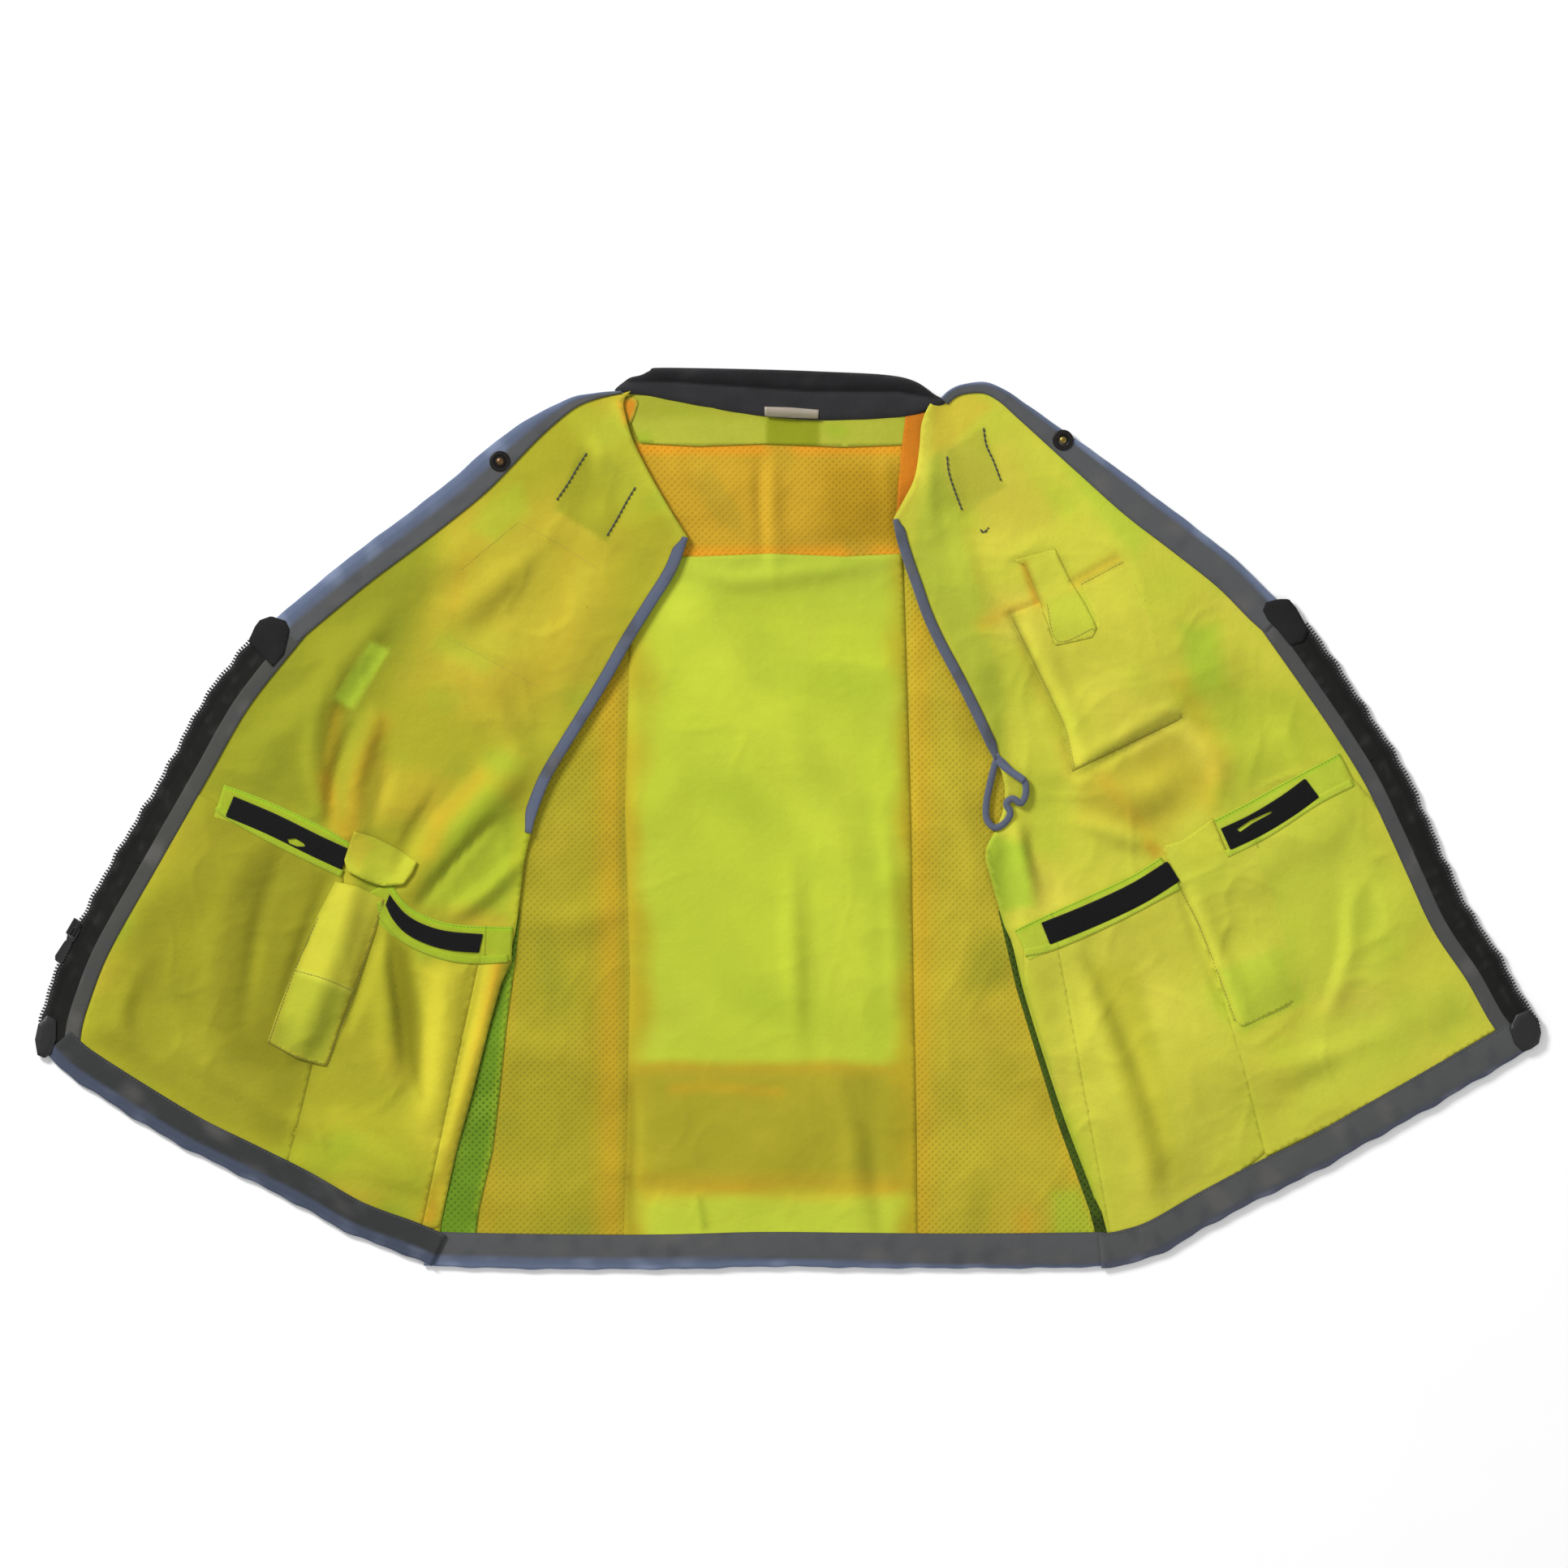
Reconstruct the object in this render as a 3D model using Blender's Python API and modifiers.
"""High visibility surveyor's vest, unzipped and laid open on its outer face, lining side up.

The scene is in metres: +Z up, collar towards +Y, the wearer's right towards -X. Sizes below are
millimetres, and outlines are (x, y) points about the middle of the back; world() moves them so
that the origin is the centre of the waist tape's outer face. "right" and "left" are the
wearer's. Each moving group hangs from an empty on its joint axis.
"""

import math

import bmesh
import bpy

# ---------------------------------------------------------------- driving sizes, mm
ORIGIN = (-4.5, -247.0)          # centre of the waist tape on the pattern

# Bottom and top heights of the layers
Z_OUTER = (0.0, 0.4)             # reflective tape, outermost
Z_BAND = (0.7, 1.1)              # contrast bands under the tape
Z_SHELL = (1.4, 2.2)             # main cloth of back and fronts
Z_FACING = (2.5, 3.1)            # first layer inside
Z_INNER = (3.4, 4.0)             # second layer inside
Z_FOLD = (4.6, 5.4)              # shoulder cloth folded over the back
Z_FRONT_TAPE = (0.6, 1.1)
Z_ZIP_TAPE = (1.4, 2.0)
Z_TOOTH = (0.9, 2.5)
Z_LABEL = (6.1, 6.5)
Z_BINDING = (0.6, 3.0)           # folded binding round a single layer of cloth
Z_ARMHOLE_BINDING = (3.8, 6.2)

BINDING_WALL = 0.4
BINDING_BEVEL = 0.7
HEM_LEG = 29.0                   # how far each binding reaches in from its edge
NECK_LEG = 5.0
ARMHOLE_LEG = 9.0
EDGE_INSET = 1.2                 # cut edge of the cloth inside its binding

SWING_Z = 8.0                    # height of the fold line of each front
SWING_GAP = 1.6                  # clear cloth each side of the fold line

# Offsets inwards from the zip edge
ZIP_TAPE = (3.4, 26.7)
ZIP_FACING = (19.5, 43.0)
ZIP_SHELL_INSET = 27.0
NECK_FACING = (NECK_LEG + 0.6, NECK_LEG + 18.5)   # offsets inwards from the neck edge

# ---------------------------------------------------------------- front patterns
# fold: ends of the fold line, collar then hem. neck, zip, hem: edge points, collar to hem.
# neck_binding: least and greatest distance from x = 0 of the bound neck edge. The other
# *_end values are the greatest distance, and the *_foot values the lowest y, kept of a run.
FRONTS = {
    "right": dict(
        fold=((-130.0, 345.0), (-281.0, -358.0)),
        neck=((-134, 344), (-168, 336), (-202, 318), (-249, 279), (-300, 240), (-348, 201),
              (-398, 160)),
        zip=((-411, 161), (-451, 109), (-565, -90), (-588, -155), (-591, -184)),
        zip_parts=5,
        hem=((-571, -200), (-531, -229), (-479, -259), (-427, -289), (-375, -315),
             (-323, -338), (-286, -352)),
        snap=(-222, 287),
        tape=((-250, -242), (-268, -286), (-541, -136), (-519, -92)),
        chest_pocket=((-262, 226), (-192, 206), (-206, 112), (-274, 138)),
        neck_binding=(138, 385),
        shell_neck_end=384, shell_hem_end=558, shell_zip_foot=-math.inf,
        facing_neck_ends=(392, 362), facing_zip_feet=(-math.inf, -math.inf),
        facing_zip_span=slice(1, -2)),
    "left": dict(
        fold=((133.0, 342.0), (262.0, -358.0)),
        neck=((137, 343), (148, 349), (168, 347), (197, 335), (229, 318), (284, 279),
              (332, 240), (375, 201), (406, 172)),
        zip=((423, 161), (449, 123), (475, 84), (499, 45), (536, -33), (555, -72),
             (580, -111), (604, -152), (608, -170)),
        zip_parts=4,
        hem=((590, -186), (561, -200), (509, -230), (457, -260), (405, -289), (353, -317),
             (301, -344), (266, -355)),
        snap=(229, 304),
        tape=((228, -246), (250, -292), (556, -124), (534, -80)),
        chest_pocket=((196, 196), (229, 204), (235, 190), (268, 198), (287, 178), (325, 83),
                      (242, 36), (228, 74), (212, 107), (190, 160)),
        neck_binding=(141, 396),
        shell_neck_end=392, shell_hem_end=574, shell_zip_foot=-168,
        facing_neck_ends=(402, 372), facing_zip_feet=(-150, -138),
        facing_zip_span=slice(1, -1)),
}

# ---------------------------------------------------------------- scene
for old in list(bpy.data.objects):
    bpy.data.objects.remove(old, do_unlink=True)

PARTS = bpy.data.collections.new("high_visibility_vest")
CUTTERS = bpy.data.collections.new("cutters")
bpy.context.scene.collection.children.link(PARTS)
bpy.context.scene.collection.children.link(CUTTERS)
CUTTERS.hide_render = True


def paint(name, colour, roughness=0.8, metallic=0.0):
    material = bpy.data.materials.new(name)
    material.use_nodes = True
    shader = material.node_tree.nodes["Principled BSDF"]
    shader.inputs["Base Color"].default_value = (*colour, 1)
    shader.inputs["Roughness"].default_value = roughness
    shader.inputs["Metallic"].default_value = metallic
    material.diffuse_color = (*colour, 1)
    return material


LIME = paint("lime_cloth", colour=(0.50, 0.55, 0.05))
LIME_MESH = paint("lime_mesh", colour=(0.42, 0.40, 0.04))
ORANGE = paint("orange_contrast", colour=(0.80, 0.25, 0.02))
SILVER = paint("reflective_tape", colour=(0.55, 0.57, 0.60), roughness=0.35, metallic=0.2)
GREY = paint("grey_binding", colour=(0.10, 0.105, 0.11))
SLATE = paint("slate_edging", colour=(0.13, 0.15, 0.19))
BLACK = paint("black_tape", colour=(0.02, 0.02, 0.022))
HOOK = paint("hook_and_loop", colour=(0.006, 0.006, 0.006))
CHARCOAL = paint("collar_knit", colour=(0.02, 0.02, 0.022))
FOAM = paint("collar_foam", colour=(0.25, 0.25, 0.24))
METAL = paint("snap_metal", colour=(0.18, 0.17, 0.16), roughness=0.35, metallic=0.9)
PLASTIC = paint("zip_plastic", colour=(0.025, 0.025, 0.027), roughness=0.4)
LABEL = paint("label_satin", colour=(0.62, 0.58, 0.48), roughness=0.6)


# ---------------------------------------------------------------- outline helpers
def unit(start, end):
    length = math.dist(start, end)
    return ((end[0] - start[0]) / length, (end[1] - start[1]) / length)


def between(start, end, share):
    return tuple(low + (high - low) * share for low, high in zip(start, end))


def smooth(points, parts=4):
    """Catmull-Rom curve through the points."""
    curve = []
    last = len(points) - 1
    for i in range(last):
        spans = list(zip(points[max(i - 1, 0)], points[i], points[i + 1],
                         points[min(i + 2, last)]))
        for k in range(parts):
            share = k / parts
            curve.append(tuple(
                0.5 * (2 * start + (end - before) * share
                       + (2 * before - 5 * start + 4 * end - after) * share * share
                       + (3 * start - before - 3 * end + after) * share ** 3)
                for before, start, end, after in spans))
    curve.append(tuple(map(float, points[-1])))
    return curve


def normals(path):
    """Left-hand mitre normal at each point of an open path."""
    result = []
    for i in range(len(path)):
        arriving = unit(path[i - 1], path[i]) if i else unit(path[0], path[1])
        leaving = unit(path[i], path[i + 1]) if i < len(path) - 1 else arriving
        x, y = -(arriving[1] + leaving[1]), arriving[0] + leaving[0]
        length = math.hypot(x, y)
        x, y = x / length, y / length
        # The floor stops the mitre running out at a sharp corner
        cosine = max(0.5, x * -arriving[1] + y * arriving[0])
        result.append((x / cosine, y / cosine))
    return result


def offset(path, distance):
    """The path moved to its left (negative: right)."""
    return [(x + normal[0] * distance, y + normal[1] * distance)
            for (x, y), normal in zip(path, normals(path))]


def clip(outline, line, gap, keep_left):
    """Outline cut by a line, keeping what is at least gap to one side of it."""
    start, end = line
    along = unit(start, end)
    sign = 1 if keep_left else -1

    def clearance(point):
        cross = along[0] * (point[1] - start[1]) - along[1] * (point[0] - start[0])
        return sign * cross - gap

    kept = []
    for i, here in enumerate(outline):
        ahead = outline[(i + 1) % len(outline)]
        here_gap, ahead_gap = clearance(here), clearance(ahead)
        if here_gap >= 0:
            kept.append(here)
        if (here_gap >= 0) != (ahead_gap >= 0):
            kept.append(between(here, ahead, here_gap / (here_gap - ahead_gap)))
    return kept


# The fold lines run down the vest, so the left of each is its +X side
def back_part(outline, side):
    """What lies on the back's side of a front's fold line."""
    return clip(outline, FRONTS[side]["fold"], SWING_GAP, side == "right")


def front_part(outline, side, gap=SWING_GAP):
    """What lies on the front's side of its fold line."""
    return clip(outline, FRONTS[side]["fold"], gap, side == "left")


def tidy(outline, least=0.25):
    """The outline without points closer together than least."""
    kept = []
    for point in outline:
        if not kept or math.dist(point, kept[-1]) > least:
            kept.append(point)
    while len(kept) > 1 and math.dist(kept[0], kept[-1]) <= least:
        kept.pop()
    return kept


def circle(centre, radius, count):
    turns = [2 * math.pi * i / count for i in range(count)]
    return [(centre[0] + radius * math.cos(turn), centre[1] + radius * math.sin(turn))
            for turn in turns]


def world(point):
    return ((point[0] - ORIGIN[0]) / 1000, (point[1] - ORIGIN[1]) / 1000)


# ---------------------------------------------------------------- object helpers
def hang(child, parent):
    """Parent the child without moving it."""
    child.parent = parent
    child.matrix_parent_inverse = parent.matrix_basis.inverted()


def adopt(obj, material, parent=None, collection=PARTS):
    obj.data.materials.append(material)
    collection.objects.link(obj)
    if parent:
        hang(obj, parent)
    return obj


def pivot(name, at, z, parent=None):
    empty = bpy.data.objects.new(name, None)
    empty.empty_display_size = 0.03
    empty.location = (*world(at), z / 1000)
    PARTS.objects.link(empty)
    if parent:
        hang(empty, parent)
    return empty


def plate(name, outline, heights, material, parent=None, holes=()):
    """A cut piece: flat outline of even thickness."""
    bottom, top = heights
    curve = bpy.data.curves.new(name, "CURVE")
    curve.dimensions = "2D"
    curve.fill_mode = "BOTH"
    curve.extrude = (top - bottom) / 2000
    for ring in (tidy(outline), *holes):
        spline = curve.splines.new("POLY")
        spline.points.add(len(ring) - 1)
        for spline_point, point in zip(spline.points, ring):
            spline_point.co = (*world(point), 0, 1)
        spline.use_cyclic_u = True
    obj = bpy.data.objects.new(name, curve)
    obj.location.z = (bottom + top) / 2000
    return adopt(obj, material, parent)


def loft(name, rings, material, parent=None, collection=PARTS):
    """Closed rings of equal length joined in order and capped."""
    count = len(rings[0])
    verts = [vert for ring in rings for vert in ring]
    total = len(verts)
    faces = [tuple(range(count)), tuple(range(total - count, total))[::-1]]
    for first in range(0, total - count, count):
        for k in range(count):
            m = (k + 1) % count
            faces.append((first + k, first + m, first + count + m, first + count + k))
    mesh = bpy.data.meshes.new(name)
    mesh.from_pydata(verts, [], faces)
    bm = bmesh.new()
    bm.from_mesh(mesh)
    bmesh.ops.recalc_face_normals(bm, faces=bm.faces)
    bm.to_mesh(mesh)
    bm.free()
    return adopt(bpy.data.objects.new(name, mesh), material, parent, collection)


def binding(name, path, leg, material, parent=None, heights=Z_BINDING):
    """Cloth strip folded round an edge; the garment is on the left of the path."""
    low, high = heights
    bevel, wall = BINDING_BEVEL, BINDING_WALL
    # (distance in from the edge, z): round the outside, then back along the inside
    profile = (
        (leg, low), (bevel, low), (0.0, low + bevel),
        (0.0, high - bevel), (bevel, high), (leg, high),
        (leg, high - wall), (wall + 0.5, high - wall), (wall, high - wall - 0.4),
        (wall, low + wall + 0.4), (wall + 0.5, low + wall), (leg, low + wall))
    rings = [[(*world((x + normal[0] * inward, y + normal[1] * inward)), z / 1000)
              for inward, z in profile]
             for (x, y), normal in zip(path, normals(path))]
    return loft(name, rings, material, parent)


def revolve(name, centre, profile, material, parent):
    """A turned piece about a vertical axis: profile of (radius, z)."""
    mesh = bpy.data.meshes.new(name)
    mesh.from_pydata([(radius / 1000, 0, z / 1000) for radius, z in profile],
                     [(i, i + 1) for i in range(len(profile) - 1)], [])
    obj = bpy.data.objects.new(name, mesh)
    obj.location = (*world(centre), 0)
    screw = obj.modifiers.new("turn", "SCREW")
    screw.axis = "Z"
    screw.steps = screw.render_steps = 28
    screw.use_merge_vertices = True
    screw.merge_threshold = 0.00005
    screw.use_smooth_shade = True
    screw.use_normal_calculate = True
    return adopt(obj, material, parent)


# ---------------------------------------------------------------- back (root)
HEM_BACK = ((-277, -357), (-219, -358), (-115, -360), (-11, -358), (93, -359), (197, -359),
            (257, -358))
BACK_NECK = ((-125, 332), (-104, 332), (-83, 327), (-57, 321.5), (-18, 318.5), (27, 317.5),
             (73, 318.5), (112, 322.5), (127, 328))
# Seams between back and gussets, top to bottom
SIDE_R = ((-208, -97), (-211, -126), (-217, -186), (-224, -248), (-234, -300), (-240, -330))
SIDE_L = ((176, -97), (186, -126), (203, -186), (219, -248), (233, -300), (240, -330))
GUSSET_SEAM_GAP = 0.9
STRIP_MARGIN = 7                 # contrast strip showing each side of its tape


def back_mesh():
    hem = [(x, y + EDGE_INSET) for x, y in smooth(HEM_BACK) if -238 < x < 240]
    outline = [(243, -357.6), *SIDE_L[::-1],
               (168, -20), (177, 60), (150, 180), (137, 300), *BACK_NECK[::-1],
               (-135, 300), (-158, 180), (-185, 60), (-203, -20),
               *SIDE_R, (-241, -356.6), *hem]
    outline = back_part(back_part(outline, "right"), "left")
    plate("back_mesh_panel", outline, Z_SHELL, LIME_MESH)


def gussets():
    right = [(-209, -99), (-210, -108), *((x - GUSSET_SEAM_GAP, y) for x, y in SIDE_R[2:]),
             (-243, -356), (-279, -356), (-262, -270), (-228, -112)]
    left = [(178, -99), *((x + GUSSET_SEAM_GAP, y) for x, y in SIDE_L[1:]),
            (245, -357), (262, -357), (240, -270), (212, -112)]
    for side, outline in (("right", right), ("left", left)):
        plate(f"{side}_side_gusset", back_part(outline, side), Z_SHELL, LIME_MESH)


def centre_panel():
    """Solid panel on the lining side of the mesh."""
    top_and_left = smooth([(-112, 207), (-4, 209), (99, 207), (101, 60), (102, -120),
                           (104, -327)])
    right = smooth([(-105, -120), (-110, 60), (-112, 206)])[:-1]
    plate("centre_back_panel", top_and_left + [(-103, -327)] + right, Z_FACING, LIME)


def yoke():
    neck = [(x, y - 1.5) for x, y in BACK_NECK if -113 < x < 113]
    plate("back_yoke", [(-112, 299), *neck, (107, 300)], Z_FACING, LIME)


def back_bands():
    """Contrast cloth and reflective tape on the outer face."""
    plate("upper_contrast_band",
          [(-112, 302), (-4, 303), (99, 302), (99, 208), (-4, 207), (-112, 208)],
          Z_BAND, ORANGE)
    plate("waist_contrast_band",
          [(-212, -195), (-4, -193), (196, -195), (224, -299), (-4, -301), (-226, -299)],
          Z_BAND, ORANGE)
    plate("waist_reflective_tape",
          [(-216, -222), (-4, -221), (204, -222), (216, -272), (-4, -273), (-221, -272)],
          Z_OUTER, SILVER)
    for side, low, high in (("right", -147, -107), ("left", 97, 137)):
        plate(f"{side}_back_contrast_strip",
              [(low, 204), (high, 204), (high, -192), (low, -192)], Z_BAND, ORANGE)
        low, high = low + STRIP_MARGIN, high - STRIP_MARGIN
        plate(f"{side}_back_reflective_tape",
              [(low, 200), (high, 200), (high, -219), (low, -219)], Z_OUTER, SILVER)


back_mesh()
gussets()
centre_panel()
yoke()
back_bands()
binding("back_hem_binding", smooth(HEM_BACK), HEM_LEG, GREY)

# ---------------------------------------------------------------- shoulders folded over the back
# Free edge of each shoulder cloth, neck downwards
STRAP_R = ((-130, 330), (-122, 322), (-112, 298), (-97, 269), (-83, 242), (-75, 225),
           (-80, 208), (-97, 176), (-129, 122), (-159, 75), (-181, 41), (-194, 14),
           (-200, -13))
STRAP_L = ((137, 312), (128, 297), (113, 272), (99, 250), (99, 238), (106, 213), (118, 176),
           (134, 136), (147, 104), (160, 78), (172, 50), (178, 22), (176, -4), (168, -24),
           (174, -58), (188, -99), (205, -155), (222, -208), (240, -270), (249, -318))


def shoulder(side, strap, inset, corners, armhole_top):
    """Folded cloth, closed by its corners near the fold line, and its armhole binding."""
    edge = smooth(strap, 3)
    plate(f"{side}_shoulder_fold", back_part(offset(edge, inset) + corners, side),
          Z_FOLD, LIME)
    armhole = [point for point in edge if -26 < point[1] < armhole_top]
    if side == "right":
        armhole.reverse()
    binding(f"{side}_armhole_binding", armhole, ARMHOLE_LEG, SLATE,
            heights=Z_ARMHOLE_BINDING)


shoulder("right", STRAP_R, -EDGE_INSET, [(-210, -15), (-136, 328)], armhole_top=214)
shoulder("left", STRAP_L, EDGE_INSET, [(256, -325), (140, 312)], armhole_top=226)

# ---------------------------------------------------------------- collar
COLLAR_HINGE = (320.5, 6.2)      # y, z of the collar's fold
# Matching stations along the top edge and the seam
COLLAR_TOP = ((-126, 346), (-109, 356), (-95, 361), (-64, 363), (-12, 361), (40, 359),
              (92, 358), (112, 356), (125, 350), (131, 343))
COLLAR_SEAM = ((-125, 341), (-104, 336), (-83, 331), (-57, 326), (-18, 323), (27, 322),
               (73, 323), (112, 327), (125, 333), (130, 338))


def collar_ring(seam, crest, low, high, inset=0.0, wall=0.0):
    """Section of the collar; with a wall, hollow and open at the seam."""
    x = seam[0] * 0.5 + crest[0] * 0.5
    bottom, top = seam[1] + inset, crest[1] - inset
    bevel = (high - low) * 0.3
    section = [(bottom, low), (top - bevel, low), (top, low + bevel),
               (top, high - bevel), (top - bevel, high), (bottom, high)]
    if wall:
        section += [(bottom, high - wall), (top - wall - 1.0, high - wall),
                    (top - wall, high - wall - 0.7), (top - wall, low + wall + 0.7),
                    (top - wall - 1.0, low + wall), (bottom, low + wall)]
    return [(*world((x, y)), z / 1000) for y, z in section]


def build_collar():
    hinge = pivot("collar_pivot", (0, COLLAR_HINGE[0]), COLLAR_HINGE[1])
    stations = list(zip(smooth(COLLAR_SEAM, 3), smooth(COLLAR_TOP, 3)))[1:-1]
    shell = [collar_ring(seam, crest, 0.6, 5.8, wall=1.0) for seam, crest in stations]
    loft("collar_shell", shell, CHARCOAL, hinge)
    # The padding stops where the collar is too shallow to hold it
    padding = [collar_ring(seam, crest, 1.9, 4.5, inset=1.9)
               for seam, crest in stations if crest[1] - seam[1] > 15]
    loft("collar_padding", padding, FOAM, hinge)
    plate("neck_label", [(-10, 323.5), (32, 322.6), (32, 329.6), (-10, 330.5)],
          Z_LABEL, LABEL, hinge)


build_collar()

# ---------------------------------------------------------------- fronts
TOOTH_PITCH = 5.0
TOOTH_HEIGHT = 1.1
TOOTH_PROFILE = ((0.0, 0.0), (0.2, TOOTH_HEIGHT), (2.6, TOOTH_HEIGHT), (2.8, 0.0))
TEETH_START = 6.0                # bare cord before the first tooth
TEETH_STOP = 12.0                # no tooth starts this close to the end
SNAP_HOLE_RADIUS = 2.2

# Turned profiles, (radius, z)
SNAP_CAP = ((0, 0.0), (4.6, 0.0), (5.9, 0.5), (5.9, 0.9), (1.7, 1.1), (1.7, 3.9), (0, 3.9))
SNAP_RINGS = {
    "right": ("stud", ((2.0, 3.4), (7.5, 3.4), (8.4, 3.9), (8.4, 4.6), (7.4, 5.3),
                       (5.2, 5.3), (4.7, 4.7), (3.6, 4.7), (3.6, 6.6), (3.0, 7.2),
                       (0, 7.2), (0, 4.2), (2.0, 4.2), (2.0, 3.4))),
    "left": ("socket", ((2.0, 3.4), (7.5, 3.4), (8.4, 3.9), (8.4, 5.0), (7.4, 5.8),
                        (5.0, 5.8), (4.2, 5.2), (4.2, 4.3), (2.0, 4.3), (2.0, 3.4))),
}


def snap(side, swing):
    """Press stud: outer cap with its post, and the ring on the lining side."""
    centre = FRONTS[side]["snap"]
    kind, ring = SNAP_RINGS[side]
    revolve(f"{side}_snap_cap", centre, SNAP_CAP, METAL, swing)
    revolve(f"{side}_snap_{kind}", centre, ring, METAL, swing)


def teeth_outline(path):
    """Cord with moulded teeth standing out from it at even pitch."""
    base = offset(path, TOOTH_HEIGHT)
    lengths = [0.0]
    for start, end in zip(base, base[1:]):
        lengths.append(lengths[-1] + math.dist(start, end))

    def at(along, outward):
        along = min(along, lengths[-1])
        i = max(k for k in range(len(lengths) - 1) if lengths[k] <= along)
        share = (along - lengths[i]) / (lengths[i + 1] - lengths[i])
        heading = unit(base[i], base[i + 1])
        x, y = between(base[i], base[i + 1], share)
        return (x + heading[1] * outward, y - heading[0] * outward)

    outline = []
    tooth = TEETH_START
    while tooth < lengths[-1] - TEETH_STOP:
        outline += [at(tooth + along, outward) for along, outward in TOOTH_PROFILE]
        tooth += TOOTH_PITCH
    return outline + offset(path, ZIP_TAPE[0] - 0.3)[::-1]


def within(path, end):
    """Points nearer than end to the line x = 0."""
    return [point for point in path if abs(point[0]) < end]


def above(path, foot):
    return [point for point in path if point[1] > foot]


def join(side, *runs):
    """Runs given collar to hem, joined in the order that keeps the cloth on the left."""
    ordered = runs[::-1] if side == "left" else runs
    return [point for run in ordered for point in run]


def front_edges(side):
    """Neck, zip and hem curves, each with the cloth on its left."""
    spec = FRONTS[side]
    curves = (smooth(spec["neck"]), smooth(spec["zip"], spec["zip_parts"]),
              smooth(spec["hem"]))
    return [curve[::-1] if side == "left" else curve for curve in curves]


def shell_outline(side, neck, zip_edge, hem):
    spec = FRONTS[side]
    zip_run = offset(zip_edge, ZIP_SHELL_INSET)
    zip_run = zip_run[1:] if side == "left" else zip_run[:-1]    # drop the hem end
    outline = join(side,
                   within(offset(neck, EDGE_INSET), spec["shell_neck_end"]),
                   above(zip_run, spec["shell_zip_foot"]),
                   within(offset(hem, EDGE_INSET), spec["shell_hem_end"]))
    return front_part(outline, side)


def facing_outline(side, neck, zip_edge):
    spec = FRONTS[side]
    outer, inner = [
        join(side, within(offset(neck, neck_offset), neck_end),
             above(offset(zip_edge, zip_offset)[spec["facing_zip_span"]], zip_foot))
        for neck_offset, neck_end, zip_offset, zip_foot in zip(
            NECK_FACING, spec["facing_neck_ends"], ZIP_FACING, spec["facing_zip_feet"])]
    return front_part(outer + inner[::-1], side, SWING_GAP + 0.5)


def build_front(side):
    spec = FRONTS[side]
    swing = pivot(f"{side}_front_pivot", between(*spec["fold"], 0.5), SWING_Z)
    neck, zip_edge, hem = front_edges(side)
    snap_hole = [circle(spec["snap"], SNAP_HOLE_RADIUS, 16)]
    plate(f"{side}_front_panel", shell_outline(side, neck, zip_edge, hem), Z_SHELL, LIME,
          swing, snap_hole)

    neck_start, neck_end = spec["neck_binding"]
    neck = [point for point in neck if abs(point[0]) > neck_start]
    binding(f"{side}_neck_binding", within(neck, neck_end), NECK_LEG, SLATE, swing)
    plate(f"{side}_edge_facing", facing_outline(side, neck, zip_edge), Z_FACING, GREY,
          swing, snap_hole)
    binding(f"{side}_hem_binding", hem, HEM_LEG, GREY, swing)

    zip_tape = offset(zip_edge, ZIP_TAPE[0]) + offset(zip_edge, ZIP_TAPE[1])[::-1]
    plate(f"{side}_zip_tape", zip_tape, Z_ZIP_TAPE, BLACK, swing)
    plate(f"{side}_zip_teeth", teeth_outline(zip_edge), Z_TOOTH, PLASTIC, swing)
    snap(side, swing)
    plate(f"{side}_front_reflective_tape", front_part(spec["tape"], side, 3.0),
          Z_FRONT_TAPE, SILVER, swing)
    plate(f"{side}_chest_pocket", spec["chest_pocket"], Z_INNER, LIME, swing)
    return swing


swings = {side: build_front(side) for side in FRONTS}

# Retainer box on the slider's side, insertion pin on the other
plate("right_zip_box", [(-596, -185.0), (-583.5, -185.0), (-583.5, -191.5), (-595.5, -191.5)],
      (0.4, 3.4), PLASTIC, swings["right"])
plate("left_zip_pin", [(603.5, -171), (612, -171), (611, -186), (603.5, -186)],
      (0.6, 3.0), PLASTIC, swings["left"])

# ---------------------------------------------------------------- slider and pull on the right zip
SLIDER_AT = (-561.4, -87.4)
CHAIN_UP = unit(FRONTS["right"]["zip"][2], FRONTS["right"]["zip"][1])
CHAIN_OUT = (-CHAIN_UP[1], CHAIN_UP[0])
Z_PULL = (3.9, 4.9)

# Sections across the chain, (outwards, z)
SLIDER_SECTION = ((-4.2, 0.0), (5.0, 0.0), (5.8, 0.8), (5.8, 2.8), (5.0, 3.5), (-4.2, 3.5),
                  (-4.2, 2.8), (4.6, 2.8), (4.6, 0.6), (-4.2, 0.6))
ARCH_SECTION = ((-0.8, 3.3), (0.8, 3.3), (0.8, 6.2), (-0.8, 6.2))
ARCH_HOLE_SECTION = ((-2.0, 3.51), (2.0, 3.51), (2.0, 5.3), (-2.0, 5.3))
# Flat outlines, (up the chain, outwards)
PULL_TAB = ((0.5, -3.4), (0.5, 3.4), (-9.0, 3.4), (-11.5, 2.4), (-13.5, 3.2), (-27, 4.0),
            (-30, 2.2), (-30.6, 0), (-30, -2.2), (-27, -4.0), (-13.5, -3.2), (-11.5, -2.4),
            (-9.0, -3.4))
PULL_EYE = ((-0.5, -2.2), (-0.5, 2.2), (-7.8, 2.2), (-7.8, -2.2))


def on_chain(up, out):
    """Pattern point at a distance up and out from the slider's centre."""
    return tuple(SLIDER_AT[i] + CHAIN_UP[i] * up + CHAIN_OUT[i] * out for i in (0, 1))


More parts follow.
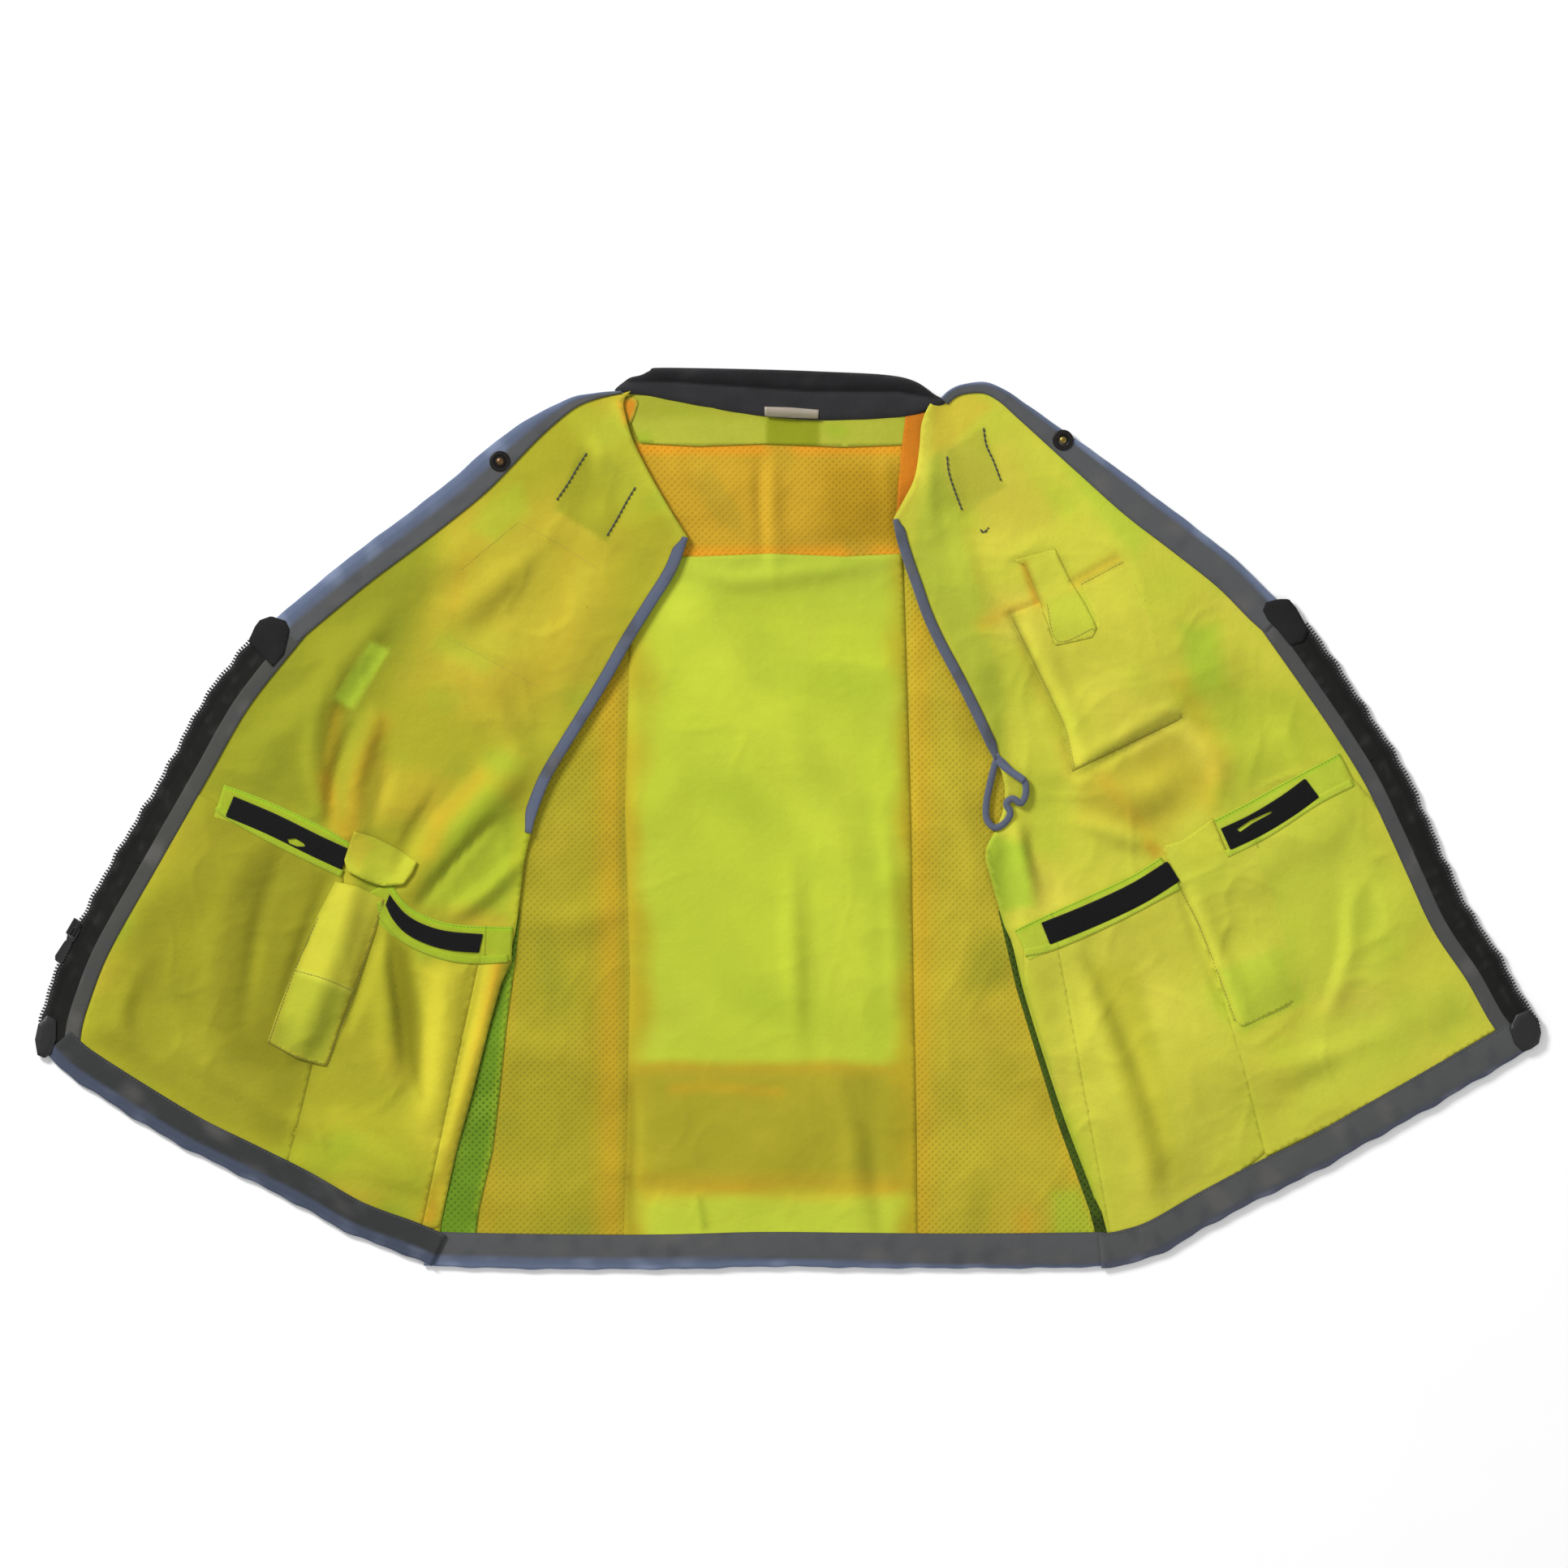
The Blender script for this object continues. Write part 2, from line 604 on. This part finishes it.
def prism(name, section, half_length, parent=None, collection=PARTS):
    """Section carried along the chain, half its length each way from the slider's centre."""
    rings = [[(*world(on_chain(up, out)), z / 1000) for out, z in section]
             for up in (-half_length, half_length)]
    return loft(name, rings, PLASTIC, parent, collection)


def build_slider():
    slide = pivot("zip_slider_pivot", SLIDER_AT, sum(Z_TOOTH) / 2, swings["right"])
    slider = prism("zip_slider", SLIDER_SECTION, 7, slide)
    for name, section, half_length, operation in (
            ("slider_arch", ARCH_SECTION, 5.5, "UNION"),
            ("slider_arch_hole", ARCH_HOLE_SECTION, 4.0, "DIFFERENCE")):
        helper = prism(name, section, half_length, collection=CUTTERS)
        helper.hide_render = True
        helper.display_type = "WIRE"
        boolean = slider.modifiers.new(operation.lower(), "BOOLEAN")
        boolean.operation = operation
        boolean.solver = "EXACT"
        boolean.object = helper

    pull = pivot("pull_tab_pivot", SLIDER_AT, sum(Z_PULL) / 2, slide)
    tab, eye = [[on_chain(*point) for point in ring] for ring in (PULL_TAB, PULL_EYE)]
    plate("zip_pull_tab", tab, Z_PULL, PLASTIC, pull, holes=[eye])


build_slider()

# ---------------------------------------------------------------- lower pockets
POCKET_PIVOT_Z = 3.0
Z_POCKET = (3.5, 4.1)
Z_HOOK_STRIP = (2.9, 3.2)
Z_LOOP_STRIP = (2.5, 3.3)
Z_PEN_POCKET = (4.4, 5.0)

# foot: ends of the lower edge, where the pocket hinges. bag: the pocket's outline.
# loop, hook: fastening strips on the front and on the pocket. pen: small pocket on the bag.
POCKETS = {
    "right_outer": dict(
        foot=((-553, -166), (-378, -268)),
        bag=((-455, 20), (-392, -11), (-341, -37), (-337, -50), (-350, -110), (-366, -190),
             (-378, -267), (-552, -165), (-528, -95), (-490, -30)),
        loop=((-433, 20), (-382, -6), (-345, -26), (-351, -43), (-401, -20), (-438, 3)),
        hook=((-436, -6), (-402, -24), (-360, -45), (-366, -58), (-408, -38), (-442, -20)),
        pen=((-343, -52), (-358, -58), (-383, -115), (-407, -176), (-363, -195),
             (-341, -142), (-335, -80))),
    "right_inner": dict(
        foot=((-366, -272), (-281, -306)),
        bag=((-314, -82), (-300, -94), (-284, -102), (-262, -108), (-244, -111),
             (-281, -305), (-366, -271), (-348, -190)),
        loop=((-313, -60), (-301, -72), (-286, -81), (-265, -88), (-240, -92), (-242, -106),
              (-270, -103), (-291, -96), (-307, -84), (-316, -70)),
        hook=((-312, -88), (-299, -99), (-284, -107), (-262, -113), (-249, -116),
              (-252, -129), (-272, -126), (-292, -119), (-306, -110), (-318, -98))),
    "left_inner": dict(
        foot=((281, -312), (398, -266)),
        bag=((232, -106), (280, -85), (322, -67), (334, -84), (372, -180), (398, -265),
             (281, -311), (262, -230)),
        loop=((217, -82), (312, -36), (320, -52), (224, -98)),
        hook=((236, -112), (312, -76), (319, -91), (243, -127))),
    "left_outer": dict(
        foot=((408, -262), (572, -172)),
        bag=((346, -18), (400, 9), (448, 34), (485, -30), (530, -100), (570, -171),
             (408, -261), (372, -150)),
        loop=((356, -4), (422, 31), (431, 17), (364, -20)),
        hook=((360, -30), (427, 6), (435, -9), (368, -45)),
        pen=((358, -22), (373, -48), (426, -150), (381, -170), (352, -98), (346, -40))),
}


def build_pocket(name, spec):
    side = name.split("_")[0]
    swing = swings[side]
    hinge = pivot(f"{name}_pocket_pivot", between(*spec["foot"], 0.5), POCKET_PIVOT_Z, swing)
    plate(f"{name}_pocket", front_part(spec["bag"], side, 3.0), Z_POCKET, LIME, hinge)
    plate(f"{name}_pocket_hook_strip", front_part(spec["hook"], side, 3.5),
          Z_HOOK_STRIP, HOOK, hinge)
    plate(f"{name}_pocket_loop_strip", front_part(spec["loop"], side, 3.0),
          Z_LOOP_STRIP, HOOK, swing)
    if "pen" in spec:
        plate(f"{side}_pen_pocket", spec["pen"], Z_PEN_POCKET, LIME, hinge)


for pocket_name, pocket in POCKETS.items():
    build_pocket(pocket_name, pocket)
